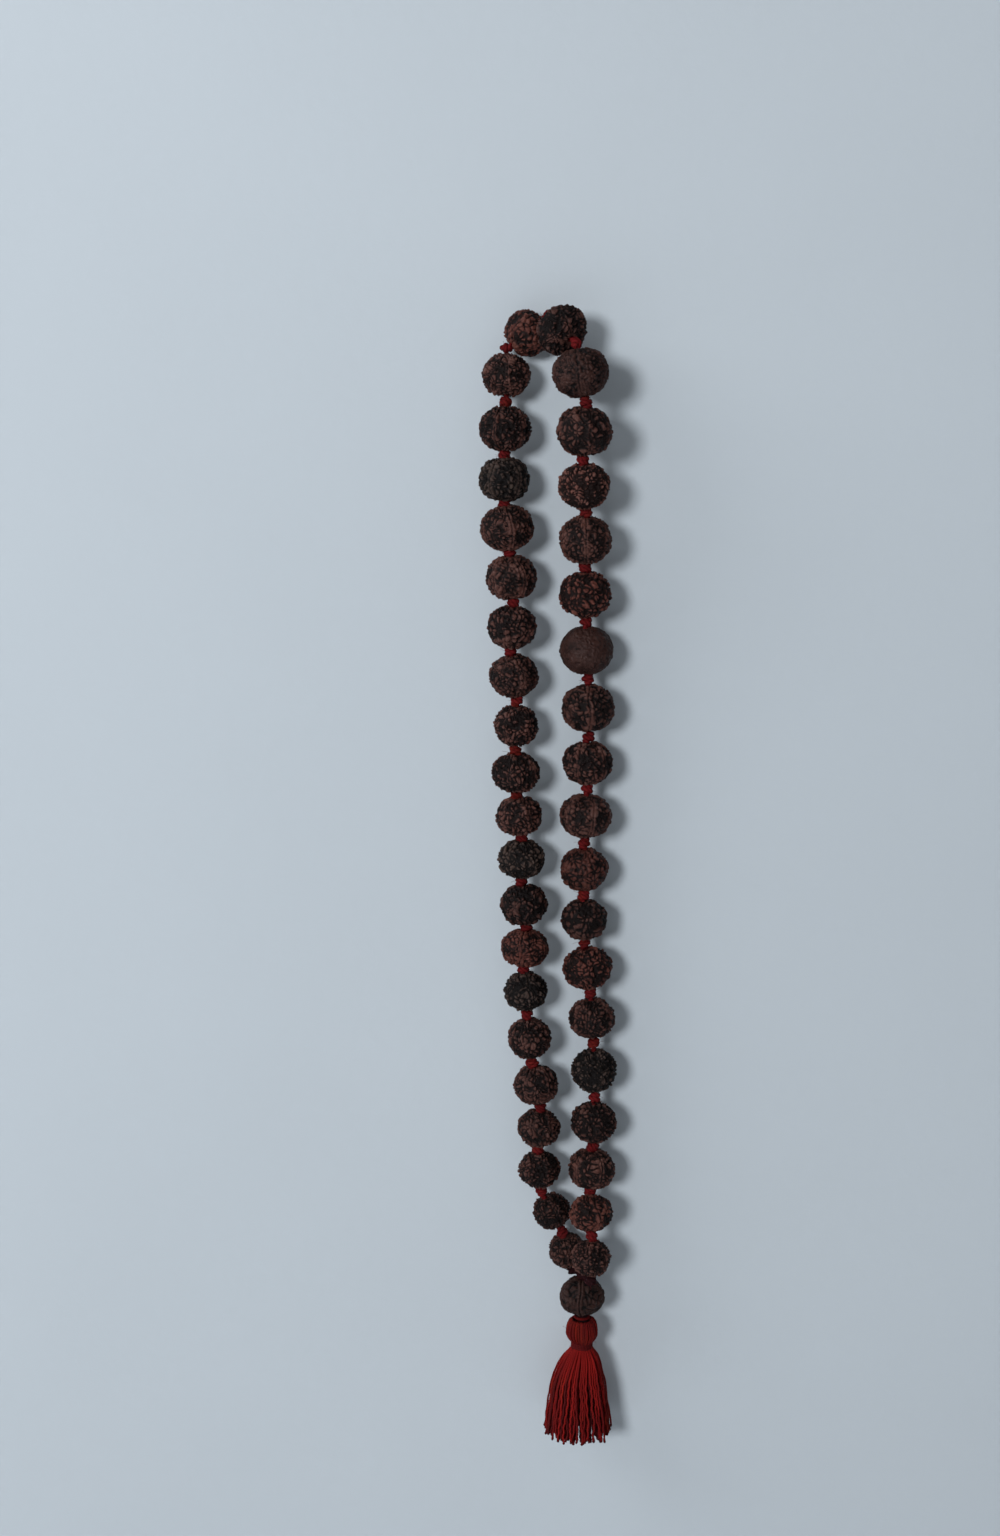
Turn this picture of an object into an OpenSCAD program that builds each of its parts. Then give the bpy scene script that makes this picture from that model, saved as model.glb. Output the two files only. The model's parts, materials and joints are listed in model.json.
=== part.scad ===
// Mala: forty-one rudraksha beads on a knotted red cord, hung over a hook, with a cotton tassel.
// Origin: underside of the cord where it goes over the hook. +Z up, -Y towards the viewer, mm.

/* [Cord] */
// Diameter of the twisted cotton cord
cord_d = 2.4; // [2.0:0.1:2.6]
// Diameter of the knot between two beads
knot_d = 5; // [4.4:0.1:5.2]
// Height of the cord's arch over the hook
arch_rise = 2.2; // [1.6:0.1:3.0]

/* [Beads] */
// Radial play of a bead on its cord
bead_play = 0.1; // [0.05:0.05:0.1]
// Play between a knot and the hollow it sits in
knot_play = 0.3; // [0.2:0.1:0.5]
// Faces of each bead, one furrow between each pair
bead_faces = 5; // [4:1:7]
// Depth of the furrow between two faces
furrow_depth = 0.7; // [0.3:0.1:1.0]
// Width of the furrow
furrow_w = 1.6; // [1.2:0.1:2.2]
// Part of the half circle that a furrow covers, in degrees
furrow_arc = 128; // [100:4:136]

/* [Guru bead] */
// Width of the guru bead
guru_w = 19.5; // [18.5:0.5:20.5]
// Height of the guru bead
guru_h = 16.5; // [15.5:0.5:16.5]
// Diameter of the two cords laid together inside it
guru_cord_d = 3.4; // [3.0:0.2:3.6]

/* [Tassel] */
// Length of the skirt below the binding
skirt_len = 41; // [30:1:60]
// Width of the skirt at its cut ends
skirt_w = 29; // [22:1:32]
// Width of the tassel's head
head_w = 13.2; // [12:0.2:14]
// Threads that show around the skirt
skirt_threads = 30; // [20:2:44]
// Turns of thread in the binding
binding_turns = 3; // [2:1:4]

/* [Hidden] */
$fn = 48;
cord_r = cord_d / 2;
knot_r = knot_d / 2;
bore_r = cord_r + bead_play;
cup_r = knot_r + knot_play;
hinge_gap = 0.3;
arch_rods = 4;
arch_joint_r = cord_r + 0.1;
wood = [0.20, 0.12, 0.10];
red = [0.62, 0.08, 0.10];

// Knots down the left strand, from the first below the top bead to the last above the guru bead
left_knots = [
    [-16.2, 0.8, -12.9], [-16.5, -2.6, -34], [-17, -3, -54.5], [-17, -3, -73.5],
    [-15, -3, -93], [-13.5, -3, -113], [-14.5, -3, -132.5], [-12, -3, -152.5],
    [-12.5, -3, -173], [-12, -3, -191], [-10, -3, -208.5], [-10, -3, -227],
    [-8, -3, -246.5], [-9, -3, -263.5], [-7.5, -3, -283], [-5.5, -3, -304],
    [-2, -3, -323], [-3, -2, -341.5], [-1.5, 0, -360.5], [7.5, 2, -380],
    [12, 4, -396.8]
];
// Knots down the right strand
right_knots = [
    [10.5, -17.6, -11.6], [14.5, -19, -34], [13.5, -15, -56], [15, -11, -76.5],
    [15, -7, -98.5], [15.5, -4, -120.5], [16.5, -3, -143.5], [17, -3, -167.5],
    [16.5, -3, -188.5], [15.5, -3, -211], [15.5, -3, -233], [16, -3, -253],
    [18.5, -3, -274], [20, -3, -295.5], [20.5, -3, -319], [20, -3, -340.5],
    [19, -4, -359.5], [19.5, -10.5, -376.5], [19, -12.5, -395.5]
];
// Width and height of each bead, in the order of the knots
left_sizes = [
    [20, 17], [20.5, 18], [20.5, 17], [21.5, 17.5], [20.5, 17.5], [20, 17.5], [19.5, 17.5],
    [18, 17.5], [20, 16], [19, 15.5], [19, 16], [19.5, 17], [19.5, 15], [18, 16.5],
    [18, 17.5], [18.5, 16.5], [17.5, 16], [17.5, 15.5], [16, 15.5], [16.5, 15]
];
right_sizes = [
    [22.5, 19], [22, 19], [20.5, 18], [21, 18.5], [21, 18.5], [21, 18.5], [21.5, 19],
    [20.5, 17], [21, 17.5], [19.5, 17.5], [19, 17], [20.5, 17], [19, 16.5],
    [19, 18.5], [19.5, 17], [19.5, 16.5], [18.5, 15.5], [17, 16.5]
];
// Knots at which one stretch of a strand ends and the next begins to bend
left_bends = [0, 4, 8, 12, 16, 20];
right_bends = [0, 4, 7, 11, 14, 18];

top_left_knot = [0.1, 4.6, -1.3];
top_right_knot = [0.1, -4.3, -1.1];
top_left_size = [19.2, 17.4];
top_right_size = [21.1, 15.2];

guru_at = [16, -3, -406.5];
guru_knot = guru_at + [0, 0, guru_h / 2 + 1.65];
guru_knot_r = 2;
pivot = guru_at - [0, 0, guru_h / 2 + 0.9];
pivot_knot_r = 1.9;
guru_bore_r = guru_cord_d / 2 + bead_play;
loop_r = 2.9;
loop_thread_r = 0.6;
socket_r = loop_r + loop_thread_r + 0.4;
binding_at = pivot - [0, 0, 12.4];
binding_thread_r = 0.65;
neck_r = 3.9;

left_names = [for (i = [1:len(left_sizes)]) str("bead_left_", i)];
right_names = [for (i = [1:len(right_sizes)]) str("bead_right_", i)];
stretches = len(left_bends) - 1;

// Turns its children so that their +Z points along v
module along(v) {
    rotate([0, acos(v[2] / norm(v)), atan2(v[1], v[0])])
        children();
}

// Round cord from a to b, starting and ending short by the given lengths
module rod(a, b, r, skip_a = 0, skip_b = 0) {
    translate(a)
        along(b - a)
            translate([0, 0, skip_a])
                cylinder(h = norm(b - a) - skip_a - skip_b, r = r);
}

module knot(at, r) {
    translate(at)
        sphere(r = r);
}

// Straight cord from a to b with a knot at each end, turned about its own length
module knotted_rod(a, b) {
    translate(a)
        along(b - a)
            rotate([0, 0, 180])
                rotate_extrude()
                    intersection() {
                        union() {
                            circle(r = knot_r);
                            square([cord_r, norm(b - a)]);
                            translate([0, norm(b - a)])
                                circle(r = knot_r);
                        }
                        translate([0, -knot_r])
                            square([knot_r, norm(b - a) + 2 * knot_r]);
                    }
}

// Half outline of a bead: a round side and flat ends
module bead_outline(w, h) {
    intersection() {
        union() {
            translate([(w - h) / 2, 0])
                circle(d = h, $fn = 96);
            translate([0, -h / 2])
                square([(w - h) / 2, h]);
        }
        translate([0, -h])
            square([w, 2 * h]);
    }
}

// One furrow, bent round the side of the bead
module furrow(w, h) {
    translate([(w - h) / 2, 0, 0])
        rotate([90, 0, 0])
            rotate([0, 0, -furrow_arc / 2])
                rotate_extrude(angle = furrow_arc, $fn = 96)
                    translate([h / 2 + furrow_w / 2 - furrow_depth, 0])
                        circle(d = furrow_w, $fn = 24);
}

// A bead bored along +Z, with a hollow at each end for the knots at up and down
module bead(w, h, bore, up, down, up_r, down_r, turn) {
    difference() {
        rotate_extrude($fn = 96)
            bead_outline(w, h);
        translate([0, 0, -h])
            cylinder(h = 2 * h, r = bore);
        translate([0, 0, up])
            sphere(r = up_r);
        translate([0, 0, -down])
            sphere(r = down_r);
        for (i = [0:bead_faces - 1])
            rotate([0, 0, turn + i * 360 / bead_faces])
                furrow(w, h);
    }
}

// A bead halfway between two knots
module bead_between(a, b, size, turn) {
    half = norm(a - b) / 2;
    color(wood)
        translate((a + b) / 2)
            along(a - b)
                bead(size[0], size[1], bore_r, half, half, cup_r, cup_r, turn);
}

// One stretch of cord with the knots tied in it; the knot it hangs from belongs to the stretch above
module stretch(knots, first, last) {
    color(red) {
        for (i = [first:last - 1])
            rod(knots[i], knots[i + 1], cord_r, i == first ? knot_r + hinge_gap : 0);
        for (i = [first + 1:last])
            knot(knots[i], knot_r);
    }
}

// The last stretch also runs on from its lowest knot to the guru bead
module cord_end(from, short) {
    color(red)
        rod(from, guru_knot, cord_r, 0, guru_knot_r + short);
}

// Cord arched over the hook between the two top knots, on a circle's arc
module arch() {
    half = norm(top_right_knot - top_left_knot) / 2;
    middle = (top_left_knot + top_right_knot) / 2;
    level = (top_right_knot - top_left_knot) / (2 * half);
    bend_r = (half * half + arch_rise * arch_rise) / (2 * arch_rise);
    sweep = asin(half / bend_r);
    points = [
        for (i = [0:arch_rods])
            let (a = sweep * (2 * i / arch_rods - 1))
            middle + level * bend_r * sin(a) + [0, 0, arch_rise - bend_r * (1 - cos(a))]
    ];
    for (i = [0:arch_rods - 1])
        rod(points[i], points[i + 1], cord_r);
    for (i = [1:arch_rods - 1])
        knot(points[i], arch_joint_r);
}

module cord_top() {
    color(red) {
        arch();
        knotted_rod(top_left_knot, left_knots[0]);
        knotted_rod(top_right_knot, right_knots[0]);
    }
}

module bead_top_left() {
    bead_between(top_left_knot, left_knots[0], top_left_size, 20);
}

module bead_top_right() {
    bead_between(top_right_knot, right_knots[0], top_right_size, 50);
}

module bead_left(i) {
    bead_between(left_knots[i], left_knots[i + 1], left_sizes[i], 31 * i);
}

module bead_right(i) {
    bead_between(right_knots[i], right_knots[i + 1], right_sizes[i], 43 * i + 10);
}

module cord_left(i) {
    stretch(left_knots, left_bends[i], left_bends[i + 1]);
    if (i == stretches - 1)
        cord_end(left_knots[left_bends[i + 1]], 1.5);
}

module cord_right(i) {
    stretch(right_knots, right_bends[i], right_bends[i + 1]);
    if (i == stretches - 1)
        cord_end(right_knots[right_bends[i + 1]], hinge_gap);
}

module cord_guru() {
    color(red) {
        rod(guru_knot, pivot, guru_cord_d / 2);
        knot(guru_knot, guru_knot_r);
        knot(pivot, pivot_knot_r);
    }
}

module guru_bead() {
    up = guru_knot[2] - guru_at[2];
    down = guru_at[2] - pivot[2];
    color(wood)
        translate(guru_at)
            bead(guru_w, guru_h, guru_bore_r, up, down, guru_knot_r + knot_play, socket_r, -90);
}

module tassel_loop() {
    color(red)
        translate(pivot)
            rotate_extrude()
                translate([loop_r, 0])
                    circle(r = loop_thread_r);
}

module tassel_head() {
    r = head_w / 2;
    color(red)
        translate(pivot)
            difference() {
                rotate_extrude()
                    polygon([
                        [0, -1], [r - 2, -1], [r - 1, -1.9], [r - 0.4, -3.2],
                        [r, -5.2], [r - 0.1, -7], [r - 0.7, -9], [r - 1.8, -10.6],
                        [neck_r, -11.4], [neck_r, -13], [0, -13]
                    ]);
                sphere(r = socket_r);
            }
}

module tassel_binding() {
    color(red)
        translate(binding_at)
            for (i = [0:binding_turns - 1])
                translate([0, 0, (i - (binding_turns - 1) / 2) * 1.1])
                    rotate_extrude()
                        translate([neck_r + binding_thread_r - 0.1, 0])
                            circle(r = binding_thread_r);
}

// Outline of the thread bundle at radius r, one bump for each thread that shows
module thread_ring(r) {
    n = 2 * skirt_threads;
    polygon([for (i = [0:n - 1]) (i % 2 == 0 ? r : r - 0.055 * skirt_w / 2) * [cos(i * 360 / n), sin(i * 360 / n)]]);
}

module tassel_skirt() {
    r = skirt_w / 2;
    top = pivot[2] - 13;
    radii = [neck_r, 0.55 * r, 0.8 * r, 0.95 * r, r];
    drops = [0, 0.13 * skirt_len, 0.42 * skirt_len, 0.75 * skirt_len, skirt_len];
    color(red)
        for (i = [0:3])
            translate([pivot[0], pivot[1], top - drops[i + 1]])
                linear_extrude(height = drops[i + 1] - drops[i], scale = radii[i] / radii[i + 1])
                    thread_ring(radii[i + 1]);
}

cord_top();
bead_top_left();
bead_top_right();
for (i = [0:len(left_names) - 1])
    bead_left(i);
for (i = [0:len(right_names) - 1])
    bead_right(i);
for (i = [0:stretches - 1])
    cord_left(i);
for (i = [0:stretches - 1])
    cord_right(i);
cord_guru();
guru_bead();
tassel_loop();
tassel_head();
tassel_binding();
tassel_skirt();
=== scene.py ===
"""Mala of rudraksha beads on a knotted red cord with a cotton tassel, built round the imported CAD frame."""

import json
import math

import bpy
import numpy as np
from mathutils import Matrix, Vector

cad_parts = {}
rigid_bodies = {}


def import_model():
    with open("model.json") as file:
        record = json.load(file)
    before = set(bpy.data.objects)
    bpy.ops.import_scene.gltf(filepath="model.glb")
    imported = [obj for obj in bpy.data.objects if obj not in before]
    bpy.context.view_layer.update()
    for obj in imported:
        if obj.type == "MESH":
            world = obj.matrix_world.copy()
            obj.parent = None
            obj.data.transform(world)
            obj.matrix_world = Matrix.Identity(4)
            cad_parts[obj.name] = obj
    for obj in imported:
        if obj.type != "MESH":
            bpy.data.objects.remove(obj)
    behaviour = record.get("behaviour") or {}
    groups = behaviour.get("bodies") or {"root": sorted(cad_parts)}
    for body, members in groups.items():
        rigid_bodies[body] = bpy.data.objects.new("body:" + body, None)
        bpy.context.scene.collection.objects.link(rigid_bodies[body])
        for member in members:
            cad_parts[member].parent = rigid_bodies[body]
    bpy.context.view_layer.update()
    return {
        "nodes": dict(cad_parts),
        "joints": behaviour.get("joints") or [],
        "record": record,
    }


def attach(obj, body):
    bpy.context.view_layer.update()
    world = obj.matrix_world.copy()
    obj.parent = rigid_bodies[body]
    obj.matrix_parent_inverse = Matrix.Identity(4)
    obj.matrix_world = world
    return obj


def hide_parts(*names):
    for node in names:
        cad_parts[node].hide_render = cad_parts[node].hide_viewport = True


MM = 0.001
SEED = 4108

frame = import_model()
joint_of = {j["child"]: j for j in frame["joints"]}
slot_of = {p["node"]: p["material_slot"] for p in frame["record"]["subparts"]}


def joint_at(body):
    """Where the body's own joint sits, in millimetres."""
    return np.array(joint_of[body]["pos_m"], float) / MM


# ---------------------------------------------------------------- camera

CAMERA_AT = (-0.01876, -0.856, -0.03735)
CAMERA_DOWN = math.radians(9.5)

camera_data = bpy.data.cameras.new("camera")
camera_data.lens = 50
camera_data.sensor_fit = "AUTO"
camera_data.sensor_width = 36
camera_data.clip_start = 0.01
camera = bpy.data.objects.new("camera", camera_data)
camera.location = CAMERA_AT
camera.rotation_euler = (math.pi / 2 - CAMERA_DOWN, 0, 0)
bpy.context.scene.collection.objects.link(camera)
bpy.context.scene.camera = camera


# ---------------------------------------------------------------- helpers for meshes


def smooth(low, high, x):
    """0 below low, 1 above high, and a smooth rise between them."""
    t = np.clip((x - low) / (high - low), 0, 1)
    return t * t * (3 - 2 * t)


def waves(rng, points, length, count=36):
    """Random field over points with a spread of one, whose swells are about half of length across."""
    direction = rng.normal(size=(count, 3))
    direction /= np.linalg.norm(direction, axis=1)[:, None]
    phase = rng.uniform(0, 2 * np.pi, count)
    return np.sqrt(2 / count) * np.cos(points @ direction.T * (2 * np.pi / length) + phase).sum(1)


def across(v):
    """Two unit vectors square to v and to each other."""
    v = v / np.linalg.norm(v)
    other = np.array([0.0, 1.0, 0.0]) if abs(v[1]) < 0.8 else np.array([1.0, 0.0, 0.0])
    a = np.cross(other, v)
    a /= np.linalg.norm(a)
    return a, np.cross(v, a)


def new_piece(name, points, faces, attributes, material):
    """A smooth mesh object from points in millimetres, with one float attribute for each name given."""
    mesh = bpy.data.meshes.new(name)
    mesh.from_pydata((np.asarray(points) * MM).tolist(), [], faces)
    mesh.polygons.foreach_set("use_smooth", np.ones(len(mesh.polygons), bool))
    for key, values in attributes.items():
        mesh.attributes.new(key, "FLOAT", "POINT").data.foreach_set("value", np.asarray(values, np.float32))
    mesh.materials.append(material)
    mesh.update()
    piece = bpy.data.objects.new(name, mesh)
    bpy.context.scene.collection.objects.link(piece)
    return piece


def grid_faces(rows, columns, closed_rows):
    """Quads of a grid whose columns close on themselves, and whose rows do too if asked."""
    r = np.arange(rows if closed_rows else rows - 1)[:, None]
    c = np.arange(columns)[None, :]
    r2 = (r + 1) % rows
    c2 = (c + 1) % columns
    quads = np.stack([r * columns + c, r * columns + c2, r2 * columns + c2, r2 * columns + c], -1)
    return quads.reshape(-1, 4).tolist()


class Bundle:
    """Collects tubes into one mesh."""

    def __init__(self):
        self.points = []
        self.faces = []
        self.values = {}
        self.count = 0

    def add(self, points, faces, **values):
        """Adds a tube with its attributes, each one number or one for every point."""
        self.faces += [[i + self.count for i in f] for f in faces]
        self.points.append(points)
        self.count += len(points)
        for key, v in values.items():
            self.values.setdefault(key, []).append(np.broadcast_to(v, len(points)))

    def piece(self, name, material):
        """All the tubes so far as one object."""
        values = {key: np.concatenate(v) for key, v in self.values.items()}
        return new_piece(name, np.concatenate(self.points), self.faces, values, material)


def path_frames(path):
    """Tangent and two side vectors at each point of a path, carried along it without twisting."""
    tangent = np.gradient(path, axis=0)
    tangent /= np.linalg.norm(tangent, axis=1)[:, None]
    side = np.zeros_like(path)
    side[0] = across(tangent[0])[0]
    for i in range(1, len(path)):
        s = side[i - 1] - tangent[i] * (side[i - 1] @ tangent[i])
        side[i] = s / np.linalg.norm(s)
    return tangent, side, np.cross(tangent, side)


def even_path(path, step):
    """The same path with points a step apart."""
    gone = np.concatenate([[0], np.cumsum(np.linalg.norm(np.diff(path, axis=0), axis=1))])
    at = np.linspace(0, gone[-1], max(4, int(round(gone[-1] / step)) + 1))
    return np.stack([np.interp(at, gone, path[:, k]) for k in range(3)], 1), at


# Length of the swollen end of a cut thread, in millimetres
TIP_LONG = 2.5


def twisted(path, radius, plies, lay, columns, step, groove, tip_grow=0.0, start_turn=0.0):
    """A tube along path with the outline of plies twisted together once in every lay.

    Gives its points and faces, and for each point the groove's depth and its share of the way along.
    """
    path, gone = even_path(path, step)
    _, side, up = path_frames(path)
    angle = np.arange(columns) * 2 * np.pi / columns
    turn = start_turn + 2 * np.pi * gone / lay
    lobe = np.abs(np.cos(plies / 2 * (angle[None, :] - turn[:, None])))
    size = radius * (1 - groove * (1 - lobe))
    ends = np.minimum(gone, gone[-1] - gone)
    size *= np.sqrt(np.clip(0.35 + ends / (0.9 * radius), 0, 1))[:, None]
    size *= 1 + tip_grow * smooth(gone[-1] - TIP_LONG, gone[-1], gone)[:, None]
    ring = np.cos(angle)[None, :, None] * side[:, None, :] + np.sin(angle)[None, :, None] * up[:, None, :]
    points = (path[:, None, :] + size[:, :, None] * ring).reshape(-1, 3)
    faces = grid_faces(len(path), columns, False)
    faces.append(list(range(columns))[::-1])
    faces.append(list(range(len(points) - columns, len(points))))
    return points, faces, (1 - lobe).reshape(-1), np.repeat(gone / gone[-1], columns)


# ---------------------------------------------------------------- materials


class Nodes:
    """Short names for adding nodes to a material."""

    def __init__(self, name):
        self.material = bpy.data.materials.new(name)
        self.material.use_nodes = True
        self.tree = self.material.node_tree
        self.shader = self.tree.nodes["Principled BSDF"]

    def add(self, kind, **settings):
        node = self.tree.nodes.new(kind)
        for key, value in settings.items():
            setattr(node, key, value)
        return node

    def link(self, a, b):
        self.tree.links.new(a, b)

    def attribute(self, name):
        return self.add("ShaderNodeAttribute", attribute_name=name).outputs["Fac"]

    def noise(self, scale, detail, roughness):
        """Noise in the piece's own space, in features per metre."""
        node = self.add("ShaderNodeTexNoise")
        node.inputs["Scale"].default_value = scale
        node.inputs["Detail"].default_value = detail
        node.inputs["Roughness"].default_value = roughness
        self.link(self.add("ShaderNodeTexCoord").outputs["Object"], node.inputs["Vector"])
        return node.outputs["Fac"]

    def ramp(self, value, *stops):
        """Colour by value, from stops of place and colour."""
        node = self.add("ShaderNodeValToRGB")
        ramp = node.color_ramp
        while len(ramp.elements) < len(stops):
            ramp.elements.new(0.5)
        for element, (place, colour) in zip(ramp.elements, stops):
            element.position = place
            element.color = (*colour, 1)
        self.link(value, node.inputs["Fac"])
        return node.outputs["Color"]

    def mix(self, share, a, b, blend="MIX"):
        """A share of b over a, each a socket, a colour or a number."""
        node = self.add("ShaderNodeMix", data_type="RGBA", blend_type=blend)
        for socket, value in ((node.inputs["Factor"], share), (node.inputs[6], a), (node.inputs[7], b)):
            if isinstance(value, bpy.types.NodeSocket):
                self.link(value, socket)
            elif isinstance(value, (tuple, list)):
                socket.default_value = (*value, 1)
            else:
                socket.default_value = value
        return node.outputs[2]

    def level(self, value, low, high, to_low, to_high):
        """Value from low to high as a number from to_low to to_high."""
        node = self.add("ShaderNodeMapRange")
        self.link(value, node.inputs["Value"])
        for key, number in (("From Min", low), ("From Max", high), ("To Min", to_low), ("To Max", to_high)):
            node.inputs[key].default_value = number
        return node.outputs["Result"]

    def bump(self, height, distance, strength, under=None):
        """Bumps of a height up to distance in metres, over other bumps if given."""
        node = self.add("ShaderNodeBump")
        node.inputs["Distance"].default_value = distance
        node.inputs["Strength"].default_value = strength
        self.link(height, node.inputs["Height"])
        if under is not None:
            self.link(under, node.inputs["Normal"])
        return node.outputs["Normal"]


def seed_material(name, crest_highlight, middle, hollow, warm):
    """Polished seed shell coloured by the depth of its relief: lighter on the ridges as painted highlight,
    dark in its furrows partly as its own darker hollows and partly as painted shade, with warmer patches.
    """
    n = Nodes(name)
    cavity = n.attribute("cavity")
    grain = n.noise(900, 4, 0.6)
    patch = n.noise(170, 3, 0.55)
    # The crest colour is a painted highlight; the hollow colour is partly the seed's own dark furrows and
    # partly painted shade
    base = n.ramp(cavity, (0.05, crest_highlight), (0.48, middle), (0.84, hollow))
    base = n.mix(n.level(patch, 0.45, 0.72, 0.0, 0.75), base, n.mix(cavity, warm, hollow))
    base = n.mix(n.level(grain, 0.3, 0.7, 0.0, 0.40), base, n.mix(0.5, base, (0, 0, 0)))
    base = n.mix(1.0, base, n.attribute("tone"), "MULTIPLY")
    n.link(base, n.shader.inputs["Base Color"])
    n.link(n.level(n.mix(0.5, grain, cavity), 0.2, 0.8, 0.45, 0.75), n.shader.inputs["Roughness"])
    n.shader.inputs["Specular IOR Level"].default_value = 0.14
    fine = n.bump(n.noise(2600, 3, 0.65), 0.00012, 0.6)
    n.link(n.bump(n.noise(1100, 2, 0.5), 0.00025, 0.6, fine), n.shader.inputs["Normal"])
    return n.material


def cotton_material(name, bright, deep, orange, tone_and_shade_depth):
    """Dyed cotton: fibres, uneven dye, painted shade in the lay between the plies, and darker by the shade
    attribute, which holds random tone and painted shade.
    """
    n = Nodes(name)
    lay = n.attribute("lay")
    dye = n.noise(45, 3, 0.6)
    fibre = n.noise(2200, 3, 0.6)
    base = n.mix(n.level(dye, 0.4, 0.68, 0.0, 1.0), bright, deep)
    base = n.mix(n.level(n.noise(95, 2, 0.5), 0.56, 0.72, 0.0, 0.7), base, orange)
    # Painted shade in the lay between the plies
    base = n.mix(n.level(lay, 0.2, 1.0, 0.0, 0.65), base, n.mix(0.8, base, (0, 0, 0)))
    base = n.mix(n.level(fibre, 0.35, 0.65, 0.0, 0.35), base, n.mix(0.5, base, (0, 0, 0)))
    # Darker by the shade attribute: random tone, and painted shade where parts meet or lie inside
    base = n.mix(n.attribute("shade"), base, n.mix(tone_and_shade_depth, base, (0.01, 0.004, 0.005)))
    n.link(base, n.shader.inputs["Base Color"])
    n.shader.inputs["Roughness"].default_value = 0.85
    n.shader.inputs["Specular IOR Level"].default_value = 0.06
    n.link(n.bump(fibre, 0.00015, 0.8), n.shader.inputs["Normal"])
    return n.material


# Crest colours are painted highlights; hollow colours are partly the seeds' own dark furrows and partly
# painted shade
SEED_COLOURS = {
    "rudraksha_dark": {
        "crest_highlight": (0.148, 0.065, 0.049),
        "middle": (0.104, 0.0390, 0.0290),
        "hollow": (0.0070, 0.0023, 0.0016),
        "warm": (0.150, 0.046, 0.032),
    },
    "rudraksha_reddish": {
        "crest_highlight": (0.178, 0.064, 0.045),
        "middle": (0.132, 0.0380, 0.0265),
        "hollow": (0.0080, 0.0024, 0.0016),
        "warm": (0.190, 0.045, 0.029),
    },
    "rudraksha_grey": {
        "crest_highlight": (0.118, 0.074, 0.058),
        "middle": (0.078, 0.0440, 0.0340),
        "hollow": (0.0056, 0.0028, 0.0022),
        "warm": (0.098, 0.062, 0.043),
    },
}
# The last entry of each sets how dark the shade attribute makes the cotton: random tone and painted shade
COTTON_COLOURS = {
    "cord_cotton": {
        "bright": (0.145, 0.0100, 0.0108),
        "deep": (0.080, 0.0058, 0.0060),
        "orange": (0.140, 0.0145, 0.0070),
        "tone_and_shade_depth": 0.96,
    },
    # A darker copy of the tassel cotton: painted shade for the loop under the guru bead
    "loop_cotton_painted_shade": {
        "bright": (0.11, 0.0040, 0.0045),
        "deep": (0.07, 0.0028, 0.0032),
        "orange": (0.12, 0.0075, 0.0045),
        "tone_and_shade_depth": 0.75,
    },
    "tassel_cotton": {
        "bright": (0.29, 0.0108, 0.0085),
        "deep": (0.18, 0.0068, 0.0060),
        "orange": (0.31, 0.0210, 0.0085),
        "tone_and_shade_depth": 0.75,
    },
}
MATERIALS = {name: seed_material(name, **colours) for name, colours in SEED_COLOURS.items()}
MATERIALS.update({name: cotton_material(name, **colours) for name, colours in COTTON_COLOURS.items()})


def finish_piece(piece, body, slot, *nodes):
    """Puts a piece on its body and hides the CAD nodes that it stands for. Slot is not used."""
    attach(piece, body)
    if nodes:
        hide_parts(*nodes)


# ---------------------------------------------------------------- beads

HOLE_R = 1.32
# The relief fades out over this distance from the rim of the hole
RIM_FADE = 1.6
DIMPLE_DEEP = 1.3
DIMPLE_WIDE = 1.9
CUP_WIDE = 3.2
FACE_LINES = 5
# Distance between the small nubs that lie over the large ones
FINE_NUBS = 1.25
# Depth of the relief at which the colour is fully dark, partly the seed's own dark hollows and partly painted
# shade
DARK_AT = 1.15
COLUMNS = 200
ROWS = 108
BORE_ROWS = 7
ARC_POINTS = 400
END_POINTS = 29


def node_points(node):
    """Corners of a CAD node, in millimetres."""
    mesh = frame["nodes"][node].data
    co = np.empty(len(mesh.vertices) * 3, np.float32)
    mesh.vertices.foreach_get("co", co)
    return co.reshape(-1, 3) / MM


def bead_outline(width, height, oval, cup):
    """Half outline, (radius, height) from the upper hole's rim to the lower one's, and its outward side.

    Cup is the depth of the hollow in the lower end, beyond the dimple that both ends have.
    """
    a = np.linspace(0, np.pi, ARC_POINTS)
    flat = (width - height) / 2 * (1 - oval)
    radius = flat + (width / 2 - flat) * np.sin(a)
    level = height / 2 * np.cos(a)
    across_top = np.linspace(0, flat, END_POINTS + 1)[:-1]
    end_level = np.full(END_POINTS, height / 2)
    radius = np.concatenate([across_top, radius, across_top[::-1]])
    level = np.concatenate([end_level, level, -end_level])
    level -= np.sign(level) * DIMPLE_DEEP * np.exp(-((radius / DIMPLE_WIDE) ** 2))
    level += (level < 0) * cup * np.exp(-((radius / CUP_WIDE) ** 2))
    keep = radius >= HOLE_R
    line = np.stack([radius[keep], level[keep]], 1)
    gone = np.concatenate([[0], np.cumsum(np.linalg.norm(np.diff(line, axis=0), axis=1))])
    at = np.linspace(0, gone[-1], ROWS)
    line = np.stack([np.interp(at, gone, line[:, k]) for k in range(2)], 1)
    run = np.gradient(line, axis=0)
    run /= np.linalg.norm(run, axis=1)[:, None]
    return line, np.stack([-run[:, 1], run[:, 0]], 1)


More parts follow.
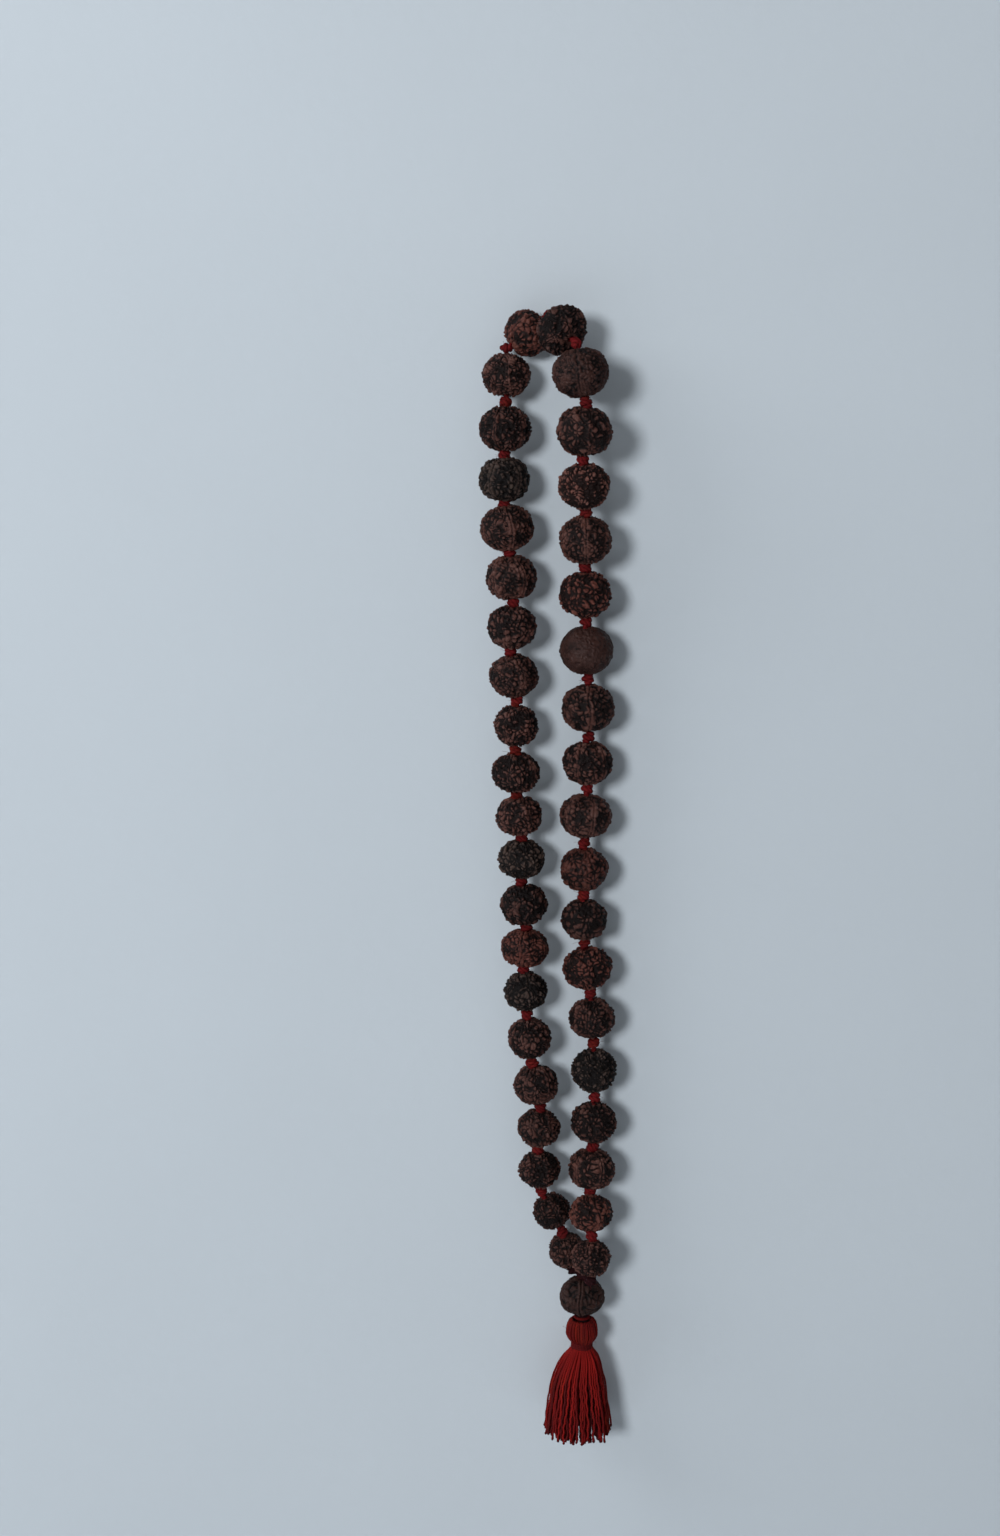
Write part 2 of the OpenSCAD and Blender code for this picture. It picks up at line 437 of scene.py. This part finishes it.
def nearest_two(rng, points, size, spacing):
    """For each point, which of the nubs scattered over the seed is nearest, and the distances to two of them.

    The nubs are about a spacing apart. Their count comes last.
    """
    count = int(np.pi * size[0] * (size[0] + size[1]) / 2 / spacing**2 * 1.15)
    i = np.arange(count) + 0.5
    up = 1 - 2 * i / count
    turn = i * np.pi * (1 + 5**0.5)
    out = np.sqrt(1 - up * up)
    nubs = np.stack([out * np.cos(turn), out * np.sin(turn), up], 1)
    nubs = nubs * np.array([size[0], size[0], size[1]]) / 2
    nubs += rng.normal(size=nubs.shape) * spacing * 0.27
    far = (points**2).sum(1)[:, None] + (nubs**2).sum(1)[None, :] - 2 * points @ nubs.T
    two = np.argpartition(far, 1, axis=1)[:, :2]
    rows = np.arange(len(points))
    first, second = far[rows, two[:, 0]], far[rows, two[:, 1]]
    swap = first > second
    two[swap] = two[swap][:, ::-1]
    low, high = np.minimum(first, second), np.maximum(first, second)
    return two[:, 0], np.sqrt(np.maximum(low, 0)), np.sqrt(np.maximum(high, 0)), count


def seed_relief(rng, points, angle, radius, size, style):
    """Depth below the outline, in millimetres, of the nubbed and furrowed surface of a rudraksha seed."""
    spacing = style["lump"]
    # Large nubs: high on their crowns, low where two meet, each sunk by its own amount
    warp = np.stack([waves(rng, points, 2.6 * spacing) for _ in range(3)], 1) * 0.24 * spacing
    nub, near_one, near_two, count = nearest_two(rng, points + warp, size, spacing)
    crown = 1 - np.exp(-(((near_two - near_one) / (0.27 * spacing)) ** 2))
    # Creases between small nubs
    _, small_one, small_two, _ = nearest_two(rng, points + 0.5 * warp, size, FINE_NUBS)
    small = np.exp(-(((small_two - small_one) / (0.30 * FINE_NUBS)) ** 2))
    sink = rng.beta(1.3, 2.6, count)[nub]
    # Winding grooves, deep pits and a slow swell
    crumbs = np.exp(-((waves(rng, points + 0.4 * warp, 1.15 * spacing) / 0.42) ** 2))
    pits = smooth(1.0, 1.8, waves(rng, points, 1.35 * spacing))
    swell = waves(rng, points, 8.0)
    # Lines between the faces, each with a low ridge on both sides where the nubs are calmer
    line_at = style["turn"] + np.arange(FACE_LINES) * 2 * np.pi / FACE_LINES
    wobble = 0.05 * waves(rng, points, 14.0)
    away = (angle[:, None] - line_at[None, :] - wobble[:, None] + np.pi) % (2 * np.pi) - np.pi
    near = np.abs(away).min(1) * radius
    ridge = np.exp(-(((near - 0.8) / 0.5) ** 2)) * style["line"]
    line = np.exp(-((near / 0.28) ** 2)) * style["line"]
    calm = np.exp(-((near / 1.2) ** 2)) * style["line"]
    deep = (1 - crown) + crown * (0.75 * sink + 0.28 * crumbs) + 0.55 * pits
    deep += 0.30 * crown * (near_one / spacing) ** 2
    deep += 0.24 * small
    deep = style["deep"] * deep * (1 - 0.6 * calm) + 0.12 * swell - 0.12 * ridge + 0.7 * line
    return np.maximum(deep - style["proud"], -style["proud"])


def bead_size(name, centre, axis):
    """Width and height of a bead's CAD node, and how far its middle is along the axis from the centre."""
    shape = node_points(name) - centre
    along = shape @ axis
    height = np.ptp(along)
    middle = (along.max() + along.min()) / 2
    width = 2 * np.linalg.norm(shape - np.outer(along, axis), axis=1).max()
    return width, height, middle


def make_bead(name, style):
    """One seed with its relief and its open bore, in the size and place of its CAD node."""
    rng = np.random.default_rng(SEED + style["seed"])
    centre = joint_at(name)
    axis = np.array(joint_of[name]["axis"], float)
    side, front = across(axis)
    width, height, middle = bead_size(name, centre, axis)
    line, out = bead_outline(width, height, style["oval"], style["cup"])
    angle = np.tile(np.arange(COLUMNS) * 2 * np.pi / COLUMNS, ROWS)
    radius = np.repeat(line[:, 0], COLUMNS)
    level = np.repeat(line[:, 1], COLUMNS)
    local = np.stack([radius * np.cos(angle), radius * np.sin(angle), level], 1)
    deep = seed_relief(rng, local, angle, radius, (width, height), style)
    deep *= 0.15 + 0.85 * smooth(HOLE_R, HOLE_R + RIM_FADE, radius)
    radius = radius - deep * np.repeat(out[:, 0], COLUMNS)
    level = level - deep * np.repeat(out[:, 1], COLUMNS)
    bore_level = np.linspace(line[-1, 1], line[0, 1], BORE_ROWS + 2)[1:-1]
    radius = np.concatenate([radius, np.full(BORE_ROWS * COLUMNS, HOLE_R)])
    level = np.concatenate([level, np.repeat(bore_level, COLUMNS)])
    angle = np.concatenate([angle, np.tile(angle[:COLUMNS], BORE_ROWS)])
    # The bore counts as fully deep, so it is painted in the hollow colour as shade inside the hole
    deep = np.concatenate([deep + style["proud"], np.full(BORE_ROWS * COLUMNS, 1.0)])
    points = (
        centre
        + np.outer(radius * np.cos(angle), side)
        + np.outer(radius * np.sin(angle), front)
        + np.outer(level + middle, axis)
    )
    faces = grid_faces(ROWS + BORE_ROWS, COLUMNS, True)
    slot = slot_of[name]
    attributes = {"cavity": np.clip(deep / DARK_AT, 0, 1), "tone": np.full(len(points), style["tone"])}
    piece = new_piece("seed_" + name, points, faces, attributes, MATERIALS[slot])
    finish_piece(piece, name, slot, name)


# What sets some beads apart: spacing of the nubs (lump), strength of the relief (deep), where the lines
# between the faces begin (turn) and how strong they are (line), how far nubs stand out (proud), how round
# the ends are (oval), brightness (tone), and depth of the hollow below (cup)
TIGHT = {"proud": 0.28}
STYLES = {
    "bead_top_left": {"proud": 0.28, "tone": 0.74},
    "bead_top_right": TIGHT,
    "bead_left_1": TIGHT,
    "bead_left_19": {"proud": 0.45},
    "bead_left_20": TIGHT,
    "bead_right_1": {"lump": 1.75, "deep": 0.8, "proud": 0.25, "tone": 0.40},
    "bead_right_3": {"tone": 1.3},
    "bead_right_6": {"lump": 1.7, "deep": 0.5, "line": 0.15, "tone": 0.33},
    "bead_right_17": {"proud": 0.6, "tone": 0.76},
    "bead_right_18": TIGHT,
    "guru_bead": {
        "lump": 2.9,
        "deep": 0.75,
        "turn": 0.82,
        "line": 1.0,
        "proud": 0.15,
        "tone": 0.28,
        "cup": 2.0,
    },
}
bead_names = [j["child"] for j in frame["joints"] if j["name"].startswith("turn_")]
for number, name in enumerate(bead_names):
    pick = np.random.default_rng(SEED * 3 + number)
    style = {
        "seed": number,
        "lump": pick.uniform(1.75, 2.5),
        "deep": pick.uniform(0.9, 1.3),
        "turn": pick.uniform(0, 2 * np.pi / FACE_LINES),
        "line": pick.uniform(0.2, 0.75),
        "oval": pick.uniform(0.0, 0.35),
        "tone": pick.uniform(0.50, 0.86),
        "proud": 0.62,
        "cup": 0.0,
    }
    style.update(STYLES.get(name, {}))
    make_bead(name, style)


# ---------------------------------------------------------------- cord and knots

CORD_R = 1.1
CORD_LAY = 5.0
KNOT_R = 2.5
# Radius and squeezed length of the coil that a knot is made of
COIL_R = 1.52
COIL_SQUEEZE = 0.70
KNOT_HAIRS = 14
HIDDEN_KNOT = 0.72
HINGE_GAP = 0.3
STRETCHES = 5
# Each strand's end stops this far short of the knot above the guru bead
END_SHORT = {"left": 3.5, "right": 2.3}
# Heights above that knot between which the painted shade on the cord, where the strands meet above the guru
# bead, fades out
SHADED = (5.0, 9.0)
ARCH_RISE = 2.2


def knots_below(start, beads):
    """Knots down a strand, from the first one: a bead sits halfway between the knot above and the next."""
    knots = [start]
    for bead in beads:
        knots.append(2 * joint_at(bead) - knots[-1])
    return knots


def knot_path(rng, at, down, reach, size):
    """A cord's turns round itself, from reach above a knot's middle to reach below it."""
    turns = rng.uniform(1.9, 2.4) * rng.choice([-1, 1])
    begin = rng.uniform(0, 2 * np.pi)
    lean = rng.normal(size=3) * 0.22
    axis = down + lean - down * (lean @ down)
    axis /= np.linalg.norm(axis)
    side, front = across(axis)
    s = np.linspace(-1, 1, 64)
    out = size * COIL_R * smooth(0, 0.22, 1 - np.abs(s))
    a = begin + turns * np.pi * s
    squeeze = reach * COIL_SQUEEZE * s
    return at + np.outer(squeeze, axis) + np.outer(out * np.cos(a), side) + np.outer(out * np.sin(a), front)


def add_fuzz(bundle, rng, at, size, count, reach=(0.7, 2.0), thick=0.05):
    """Short stray fibres standing out of the cotton round a point."""
    for _ in range(count):
        out = rng.normal(size=3)
        out /= np.linalg.norm(out)
        begin = at + out * size
        bend = rng.normal(size=3) * 0.5
        length = rng.uniform(*reach)
        t = np.linspace(0, 1, 6)[:, None]
        path = begin + out * t * length + bend * t * t * length
        points, faces, _, _ = twisted(path, thick, plies=2, lay=2.0, columns=3, step=length / 5, groove=0)
        bundle.add(points, faces, lay=0.1, shade=rng.uniform(0, 0.4))


def cut_corners(path):
    """The path with every corner cut off at a quarter of its sides."""
    cut = np.empty((2 * len(path) - 2, 3))
    cut[0::2] = 0.75 * path[:-1] + 0.25 * path[1:]
    cut[1::2] = 0.25 * path[:-1] + 0.75 * path[1:]
    return np.concatenate([path[:1], cut, path[-1:]])


def make_cord(body, stops, knotted, knot_size=1.0):
    """The cord of one body through its stops, with a knot at those listed, as one length."""
    rng = np.random.default_rng(SEED + sum(map(ord, body)))
    parts = []
    for i, stop in enumerate(stops):
        way = stops[min(i + 1, len(stops) - 1)] - stops[max(i - 1, 0)]
        way = way / np.linalg.norm(way)
        if i in knotted:
            parts.append(knot_path(rng, stop, way, KNOT_R, knot_size))
        else:
            parts.append(stop[None, :])
    path = cut_corners(cut_corners(np.concatenate(parts)))
    bundle = Bundle()
    points, faces, lay, _ = twisted(path, CORD_R, plies=3, lay=CORD_LAY, columns=18, step=0.3, groove=0.26)
    # Painted shade on the cord and its knots low down, where the strands meet above the guru bead
    above_guru = points[:, 2] - joint_at("cord_guru")[2]
    bundle.add(points, faces, lay=lay, shade=0.95 * (1 - smooth(*SHADED, above_guru)))
    for i in knotted:
        add_fuzz(bundle, rng, stops[i], 2.0, KNOT_HAIRS)
    piece = bundle.piece("twisted_" + body, MATERIALS["cord_cotton"])
    finish_piece(piece, body, "cord_cotton", body)


def towards(a, b, skip):
    """The point on the way from a to b, by skip from a."""
    return a + (b - a) / np.linalg.norm(b - a) * skip


def arch_points(start, end):
    """Points of the cord's arch over the hook, on an arc of a circle."""
    half = np.linalg.norm(end - start) / 2
    arch_r = (half**2 + ARCH_RISE**2) / (2 * ARCH_RISE)
    level = (end - start) / (2 * half)
    points = []
    for a in np.linspace(-0.6, 0.6, 5) * math.asin(half / arch_r):
        rise = np.array([0, 0, ARCH_RISE - arch_r * (1 - math.cos(a))])
        points.append((start + end) / 2 + level * arch_r * math.sin(a) + rise)
    return points


def make_strand(side_name, top):
    """The stretches of cord down one side, from the knot at its top."""
    upper = top
    for k in range(1, STRETCHES + 1):
        body = f"cord_{side_name}_{k}"
        beads = [b for b in bead_names if joint_of[b]["parent"] == body]
        knots = knots_below(upper, beads)
        stops = [towards(knots[0], knots[1], KNOT_R + HINGE_GAP), *knots[1:]]
        knotted = list(range(1, len(stops)))
        if k == STRETCHES:
            stops.append(towards(joint_at("cord_guru"), knots[-1], END_SHORT[side_name]))
        make_cord(body, stops, knotted)
        upper = knots[-1]


left_top = joint_at("cord_left_1")
right_top = joint_at("cord_right_1")
hook_left = 2 * joint_at("bead_top_left") - left_top
hook_right = 2 * joint_at("bead_top_right") - right_top
arch = arch_points(hook_left, hook_right)
make_cord("cord_top", [left_top, hook_left, *arch, hook_right, right_top], [0, 1, 7, 8], HIDDEN_KNOT)
make_strand("left", left_top)
make_strand("right", right_top)
pivot = joint_at("tassel")
make_cord("cord_guru", [joint_at("cord_guru"), pivot], [0, 1])

# The loop gets the darker cotton, painted shade under the guru bead
frame["nodes"]["tassel_loop"].data.materials.clear()
frame["nodes"]["tassel_loop"].data.materials.append(MATERIALS["loop_cotton_painted_shade"])


# ---------------------------------------------------------------- tassel

THREAD_R = 0.46
NECK_AT = 12.4
NECK_R = 3.9
SKIRT_FROM = 13.0
SKIRT_LONG = 41.0
SKIRT_DROPS = [0, 2.2, 5.3, 10, 17.2, 30.8, SKIRT_LONG]
SKIRT_RADII = [3.4, 5.2, 7.3, 9.2, 11.3, 13.4, 14.5]
# How far the skirt hangs to the left of the head
SKIRT_LEAN = 1.4
tassel_rng = np.random.default_rng(SEED + 777)

# Radius and drop below the pivot, down the side of the head
HEAD_LINE = [
    (4.0, 2.6),
    (4.3, 1.2),
    (5.0, 1.35),
    (5.6, 2.2),
    (5.95, 3.7),
    (6.2, 5.6),
    (6.25, 7.2),
    (5.5, 9.2),
    (4.3, 10.7),
    (3.5, 11.6),
    (3.4, 13.0),
]
# Waves round the head and round the skirt's hem: how many, where they begin, how large
HEAD_LUMPS = ((2, 0.5, 0.030), (3, 2.1, 0.035), (7, 4.0, 0.020))
HEM_CLUMPS = ((5, 1.0, 0.020), (9, 4.2, 0.018), (14, 2.6, 0.018))
HEAD_THREADS = 46
HEAD_HAIRS = 26
CORE_INSET = 0.35
CORE_RINGS = 24
CORE_COLUMNS = 32
BINDING_TURNS = 3.6
BINDING_LONG = 3.2
BINDING_THREAD_R = 0.55
# Layers of the skirt: threads, share of the skirt's radius, and how far they stand out from it
OUTER_LAYERS = [(52, 1.0, 0.0), (46, 0.88, 0.0), (7, 1.0, 0.9)]
INNER_LAYERS = [(40, 0.74, 0.0), (28, 0.56, 0.0), (16, 0.36, 0.0), (6, 0.14, 0.0)]


def head_point(share, angle, shrink=0.0):
    """A point on the head's rounded side, from its top hole to below the neck."""
    along_line = np.linspace(0, 1, len(HEAD_LINE))
    r = np.interp(share, along_line, [p[0] for p in HEAD_LINE]) - shrink
    drop = np.interp(share, along_line, [p[1] for p in HEAD_LINE])
    swell = sum(size * np.sin(k * angle + begin + 2 * share) for k, begin, size in HEAD_LUMPS)
    r = r * (1 + swell * np.clip(4 * share - 0.4, 0, 1) * np.clip(5 - 5 * share, 0, 1))
    return np.stack([pivot[0] + r * np.cos(angle), pivot[1] + r * np.sin(angle), pivot[2] - drop], -1)


def make_head():
    """The head's threads, laid over a core that closes the gaps between them."""
    bundle = Bundle()
    t = np.linspace(0, 1, 40)
    for i in range(HEAD_THREADS):
        angle = 2 * np.pi * i / HEAD_THREADS + tassel_rng.uniform(-0.05, 0.05)
        lean = tassel_rng.uniform(-0.12, 0.22)
        path = head_point(t, angle + lean * t, tassel_rng.uniform(0, 0.25))
        begin = tassel_rng.uniform(0, 6)
        points, faces, lay, _ = twisted(
            path, THREAD_R, plies=2, lay=2.6, columns=8, step=0.35, groove=0.3, start_turn=begin
        )
        bundle.add(points, faces, lay=lay, shade=tassel_rng.uniform(0.35, 0.85))
    for angle in tassel_rng.uniform(0, 2 * np.pi, HEAD_HAIRS):
        at = head_point(tassel_rng.uniform(0.25, 0.95), angle)
        add_fuzz(bundle, tassel_rng, at, 0.2, 1, (0.8, 2.6), 0.07)
    ring = np.arange(CORE_COLUMNS) * 2 * np.pi / CORE_COLUMNS
    rings = [head_point(np.full(CORE_COLUMNS, s), ring, CORE_INSET) for s in np.linspace(0, 1, CORE_RINGS)]
    core = np.concatenate(rings)
    faces = grid_faces(CORE_RINGS, CORE_COLUMNS, False)
    faces.append(list(range(CORE_COLUMNS)))
    faces.append(list(range(len(core) - CORE_COLUMNS, len(core)))[::-1])
    # The core is painted darker through lay and shade, as shade in the gaps between the threads
    bundle.add(core, faces, lay=0.9, shade=0.3)
    piece = bundle.piece("tassel_head_threads", MATERIALS["tassel_cotton"])
    finish_piece(piece, "tassel", "tassel_cotton", "tassel_head")


def make_binding():
    """One thread wound round the neck."""
    bundle = Bundle()
    a = np.linspace(0, BINDING_TURNS * 2 * np.pi, 160)
    r = NECK_R + 0.25 + 0.08 * np.sin(3.3 * a)
    drop = NECK_AT - 1.7 + BINDING_LONG * a / a[-1]
    path = np.stack([pivot[0] + r * np.cos(a), pivot[1] + r * np.sin(a), pivot[2] - drop], 1)
    points, faces, lay, _ = twisted(
        path, BINDING_THREAD_R, plies=2, lay=2.4, columns=10, step=0.3, groove=0.28
    )
    # The binding thread is painted much darker, as shade in the neck under the head
    bundle.add(points, faces, lay=lay, shade=0.85)
    piece = bundle.piece("tassel_binding_thread", MATERIALS["tassel_cotton"])
    finish_piece(piece, "tassel", "tassel_cotton", "tassel_binding")


def skirt_radius(drop):
    """Radius of the outside of the skirt at a drop below its top."""
    return np.interp(drop, SKIRT_DROPS, SKIRT_RADII)


def clumped(angle):
    """How far round a thread is drawn towards its neighbours at the skirt's hem."""
    return sum(size * np.sin(k * angle + begin) for k, begin, size in HEM_CLUMPS)


def skirt_thread(angle, out, proud, long):
    """Path of one thread of the skirt, from the binding down and outwards."""
    t = np.linspace(0, 1, 60)
    drop = long * t
    sway = tassel_rng.uniform(-0.10, 0.10)
    wave_at = tassel_rng.uniform(0, 6, 3)
    wave_n = tassel_rng.uniform(1.2, 3.2, 3)
    a = angle + (sway + clumped(angle)) * t + 0.035 * np.sin(wave_n[0] * 2 * np.pi * t + wave_at[0]) * t
    a = a + 0.014 * np.sin(wave_n[2] * 9 * np.pi * t + wave_at[2]) * smooth(0.1, 0.4, t)
    r = (skirt_radius(drop) - THREAD_R) * out + proud * smooth(0.0, 0.25, t)
    r = r + (0.25 * np.sin(wave_n[1] * 2 * np.pi * t + wave_at[1]) + 0.12 * np.sin(40 * t + wave_at[0])) * t
    aside = SKIRT_LEAN * smooth(0, 16, drop)
    level = pivot[2] - SKIRT_FROM + 0.6 - drop
    return np.stack([pivot[0] + r * np.cos(a) - aside, pivot[1] + r * np.sin(a), level], 1)


def make_skirt(name, layers, columns, step, *nodes):
    """Layers of two-ply threads as one piece, each with darker, swollen cut ends."""
    bundle = Bundle()
    for count, share, proud in layers:
        for i in range(count):
            angle = 2 * np.pi * (i + tassel_rng.uniform(-0.42, 0.42)) / count
            out = share * tassel_rng.uniform(0.955, 1.015)
            long = SKIRT_LONG * tassel_rng.uniform(0.955, 1.01) - 1.6 * share**2
            path = skirt_thread(angle, out, proud, long)
            size = THREAD_R * tassel_rng.uniform(0.86, 1.16)
            begin = tassel_rng.uniform(0, 6)
            points, faces, lay, gone = twisted(
                path, size, plies=2, lay=2.3, columns=columns, step=step, groove=0.34,
                tip_grow=0.45, start_turn=begin
            )
            # Random darkness per thread, less near the top, plus painted shade that grows on the inner layers
            dark = tassel_rng.uniform(0, 0.95) * (0.25 + 0.75 * smooth(0.1, 0.5, gone)) + 0.5 * (1 - share)
            cut_end = smooth(0.965, 0.985, gone)
            bundle.add(points, faces, lay=lay, shade=np.maximum(cut_end, np.minimum(dark, 1)))
    piece = bundle.piece(name, MATERIALS["tassel_cotton"])
    finish_piece(piece, "tassel", "tassel_cotton", *nodes)


make_head()
make_binding()
make_skirt("tassel_skirt_outer", OUTER_LAYERS, 8, 0.46, "tassel_skirt")
# The inner threads hardly show, so their tubes are coarser
make_skirt("tassel_skirt_inner", INNER_LAYERS, 6, 0.6)


# ---------------------------------------------------------------- stage and lights

WALL_Y = 0.0132
WALL_HALF = 2.0
WALL_TOP = 1.5
FLOOR_Z = -0.62
FLOOR_HALF = 4.0
WALL_PAINT = (0.548, 0.571, 0.592)
FLOOR_PAINT = (0.70, 0.72, 0.74)


def plain_material(name, colour, see_through_back=False):
    """Matt paint, which can be seen through from its back if asked."""
    n = Nodes(name)
    n.shader.inputs["Roughness"].default_value = 0.9
    n.shader.inputs["Specular IOR Level"].default_value = 0.1
    cloud = n.level(n.noise(4, 3, 0.5), 0.3, 0.7, 0, 1)
    n.link(n.mix(cloud, colour, tuple(0.96 * c for c in colour)), n.shader.inputs["Base Color"])
    n.link(n.bump(n.noise(220, 3, 0.5), 0.0004, 0.25), n.shader.inputs["Normal"])
    if see_through_back:
        clear = n.add("ShaderNodeBsdfTransparent")
        either = n.add("ShaderNodeMixShader")
        n.link(n.add("ShaderNodeNewGeometry").outputs["Backfacing"], either.inputs[0])
        n.link(n.shader.outputs[0], either.inputs[1])
        n.link(clear.outputs[0], either.inputs[2])
        n.link(either.outputs[0], n.tree.nodes["Material Output"].inputs["Surface"])
    return n.material


def plane(name, corners, material):
    """A flat piece of the stage."""
    mesh = bpy.data.meshes.new(name)
    mesh.from_pydata(corners, [], [(0, 1, 2, 3)])
    mesh.materials.append(material)
    thing = bpy.data.objects.new(name, mesh)
    bpy.context.scene.collection.objects.link(thing)
    return thing


wall = plane(
    "wall",
    [
        (-WALL_HALF, WALL_Y, FLOOR_Z),
        (WALL_HALF, WALL_Y, FLOOR_Z),
        (WALL_HALF, WALL_Y, WALL_TOP),
        (-WALL_HALF, WALL_Y, WALL_TOP),
    ],
    plain_material("wall_paint", WALL_PAINT, True),
)
wall.visible_shadow = False
plane(
    "floor",
    [
        (-FLOOR_HALF, -FLOOR_HALF, FLOOR_Z),
        (FLOOR_HALF, -FLOOR_HALF, FLOOR_Z),
        (FLOOR_HALF, FLOOR_HALF, FLOOR_Z),
        (-FLOOR_HALF, FLOOR_HALF, FLOOR_Z),
    ],
    plain_material("floor_paint", FLOOR_PAINT),
)

COOL = (0.88, 0.945, 1.0)
# Name, place, what it points at, size in metres, power in watts
LIGHTS = [
    ("key", (-0.86, -2.15, 0.26), (0, 0, -0.15), 0.50, 37),
    ("side", (-1.25, -0.50, 0.80), (0, 0, -0.10), 1.1, 11),
    ("fill", (0.7, -1.6, 0.1), (0, 0, -0.25), 1.6, 0.2),
    ("back", (0.2, 1.3, 0.2), (0, 0, -0.25), 1.2, 3),
]


def area_light(name, at, aim, size, power):
    """A round soft lamp."""
    data = bpy.data.lights.new(name, "AREA")
    data.shape = "DISK"
    data.size = size
    data.energy = power
    data.color = COOL
    lamp = bpy.data.objects.new(name, data)
    lamp.location = at
    lamp.rotation_euler = (Vector(aim) - Vector(at)).to_track_quat("-Z", "Y").to_euler()
    bpy.context.scene.collection.objects.link(lamp)


for light in LIGHTS:
    area_light(*light)

world = bpy.data.worlds.new("world")
world.use_nodes = True
world.node_tree.nodes["Background"].inputs["Color"].default_value = (*COOL, 1)
world.node_tree.nodes["Background"].inputs["Strength"].default_value = 0.11
bpy.context.scene.world = world
bpy.context.scene.view_settings.view_transform = "Standard"
